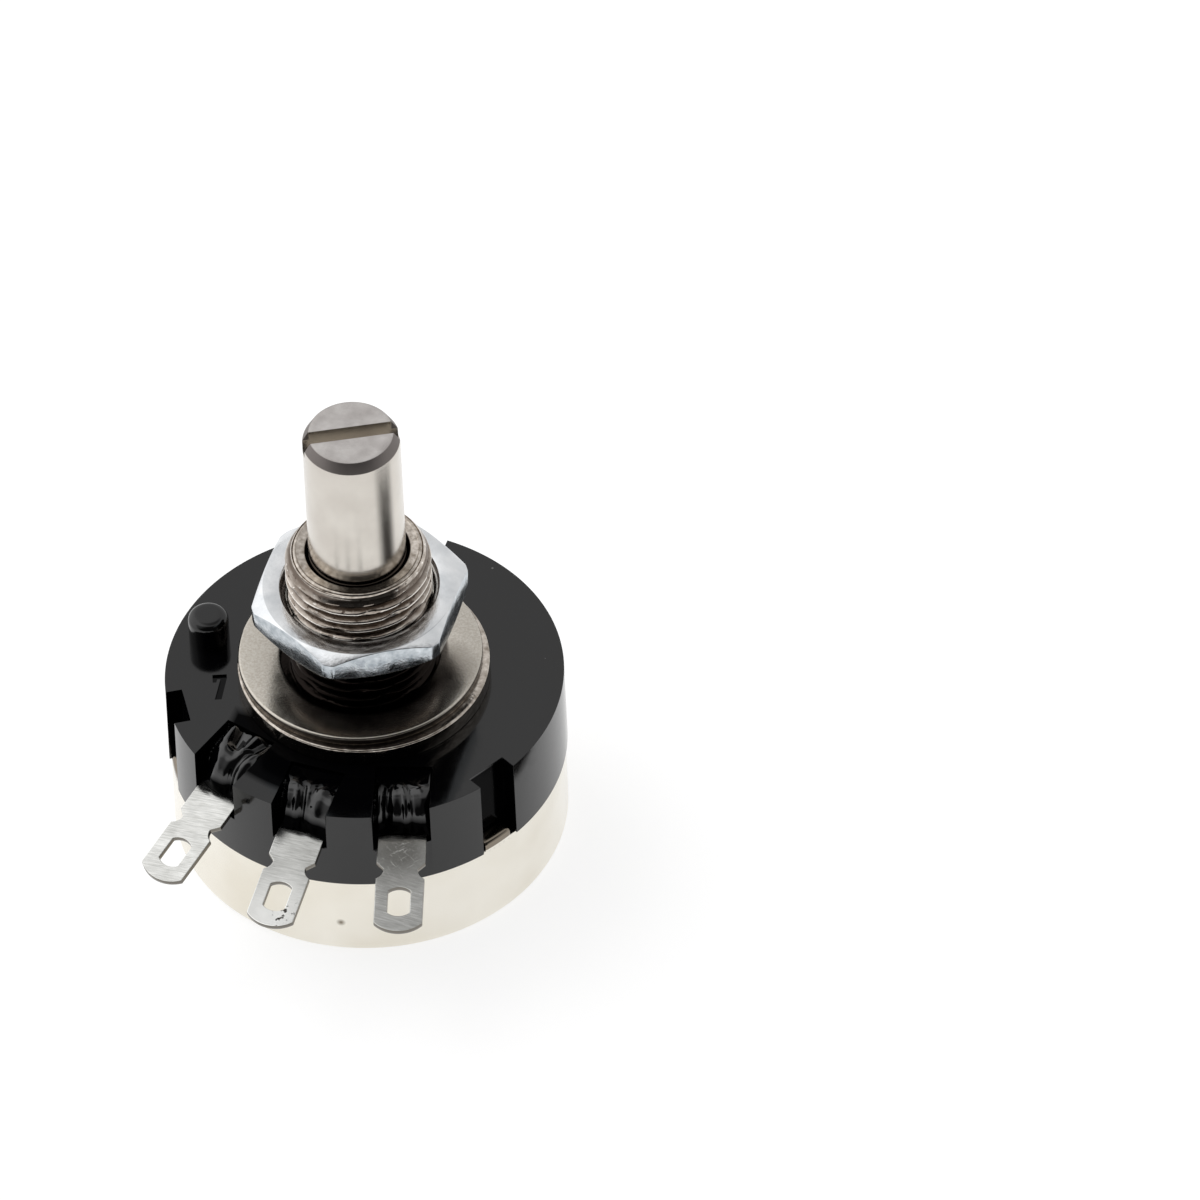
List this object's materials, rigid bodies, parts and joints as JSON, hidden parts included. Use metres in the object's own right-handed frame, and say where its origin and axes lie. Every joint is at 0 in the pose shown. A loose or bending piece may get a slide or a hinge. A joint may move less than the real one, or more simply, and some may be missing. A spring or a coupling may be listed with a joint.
{
  "type": "rotary potentiometer",
  "caption": "Round single-turn rotary potentiometer with a slotted metal shaft, threaded mounting bushing, nut, washer and fanned solder terminals.",
  "frame": {"origin": "centre of the rear cover's flat outer face, on the shaft's axis", "axes": "+Z along the shaft towards its tip, -Y towards the middle terminal, -X towards the locating peg"},
  "size_m": [0.0244, 0.0304, 0.0334],
  "materials": {
    "shaft_nickel": "satin nickel plate",
    "bushing_nickel": "bright nickel plate",
    "zinc_plated_steel": "bright zinc plate",
    "satin_steel": "satin",
    "black_phenolic": "glossy moulding",
    "cover_nickel": "bright nickel plate",
    "tinned_brass": "satin tin plate",
    "sealing_resin": "glossy, wrinkled",
    "laminate": "matt",
    "carbon_film": "matt",
    "silver_film": "satin",
    "rivet_brass": "satin",
    "spring_steel": "dark",
    "rotor_plastic": "matt",
    "phosphor_bronze": "satin",
    "brush_carbon": "matt"
  },
  "bodies": {
    "body": {"bushing": "bushing_nickel", "flat_washer": "satin_steel", "housing": "black_phenolic", "rear_cover": "cover_nickel", "terminal_1": "tinned_brass", "terminal_2": "tinned_brass", "terminal_3": "tinned_brass", "terminal_seal_1": "sealing_resin", "terminal_seal_2": "sealing_resin", "terminal_seal_3": "sealing_resin", "element_wafer": "laminate", "resistive_track": "carbon_film", "collector_ring": "silver_film", "terminal_rivet_1": "rivet_brass", "terminal_rivet_2": "rivet_brass", "terminal_rivet_3": "rivet_brass", "thrust_washer": "satin_steel"},
    "rotor_group": {"shaft": "shaft_nickel", "retaining_ring": "spring_steel", "rotor": "rotor_plastic", "wiper_spring": "phosphor_bronze", "track_brush": "brush_carbon", "collector_brush": "brush_carbon"},
    "nut": {"hex_nut": "zinc_plated_steel"}
  },
  "joints": [
    {"name": "shaft_turn", "type": "hinge", "parent": "body", "child": "rotor_group", "pos_m": [0, 0, 0.0134], "axis": [0, 0, 1], "range_deg": [-88, 212]},
    {"name": "nut_travel", "type": "slide", "parent": "body", "child": "nut", "axis": [0, 0, 1], "range_m": [-0.00413, 0.00325]}
  ]
}
